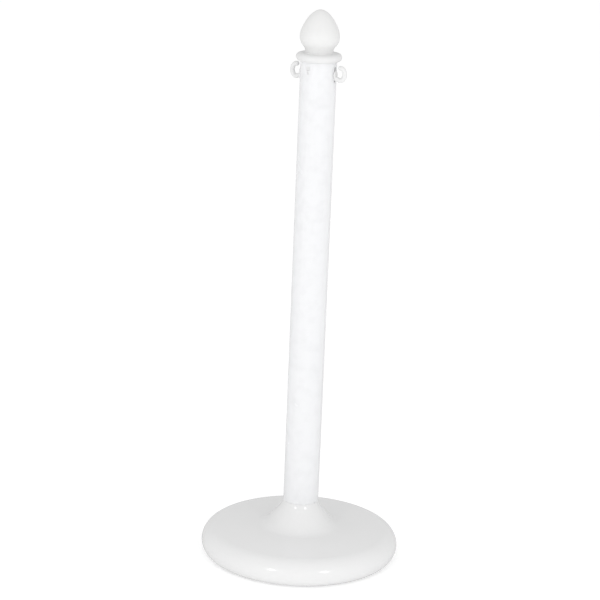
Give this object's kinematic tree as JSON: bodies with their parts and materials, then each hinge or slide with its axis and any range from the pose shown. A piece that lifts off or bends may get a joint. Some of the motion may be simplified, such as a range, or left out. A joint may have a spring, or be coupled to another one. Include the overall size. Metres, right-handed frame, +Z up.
{
  "type": "chain stanchion",
  "caption": "Free-standing plastic post with a sand-filled domed foot and an acorn finial, for hanging a barrier chain from two turning hooks.",
  "frame": {"origin": "centre of the ground ring under the foot, on the post's axis", "axes": "+Z up along the post; the two chain hooks stand out along +X and -X; the snap windows are at 81 and 261 degrees round from +X"},
  "size_m": [0.3555, 0.3556, 0.992],
  "materials": {
    "base_plastic": "glossy moulded white",
    "cover_plastic": "satin moulded white",
    "seal_rubber": "black rubber",
    "screw_steel": "zinc-plated steel",
    "plug_plastic": "satin moulded white",
    "sand": "dry sand",
    "coupler_plastic": "satin moulded white",
    "pole_plastic": "glossy extruded white",
    "cap_plastic": "glossy moulded white",
    "finial_plastic": "glossy moulded white",
    "hook_plastic": "glossy moulded white"
  },
  "bodies": {
    "foot": {"base_shell": "base_plastic", "base_cover": "cover_plastic", "cover_gasket": "seal_rubber", "cover_screws": "screw_steel", "sand_ballast": "sand"},
    "bung": {"fill_plug": "plug_plastic", "plug_seal": "seal_rubber"},
    "coupler": {"pole_coupler": "coupler_plastic"},
    "post": {"pole": "pole_plastic", "collar_cap": "cap_plastic", "finial": "finial_plastic"},
    "hook_right": {"hook_right": "hook_plastic"},
    "hook_left": {"hook_left": "hook_plastic"}
  },
  "joints": [
    {"name": "fill_plug_pull", "type": "slide", "parent": "foot", "child": "bung", "axis": [0, 0, -1], "range_m": [0, 0.02]},
    {"name": "post_lift", "type": "slide", "parent": "foot", "child": "coupler", "axis": [0, 0, 1], "range_m": [0, 0.1]},
    {"name": "post_turn", "type": "hinge", "parent": "coupler", "child": "post", "pos_m": [0, 0, 0.103], "axis": [0, 0, 1], "continuous": true},
    {"name": "hook_right_turn", "type": "hinge", "parent": "post", "child": "hook_right", "pos_m": [0.0313, 0, 0.8826], "axis": [1, 0, 0], "range_deg": [0, 90]},
    {"name": "hook_left_turn", "type": "hinge", "parent": "post", "child": "hook_left", "pos_m": [-0.0313, 0, 0.8826], "axis": [-1, 0, 0], "range_deg": [0, 90]}
  ]
}
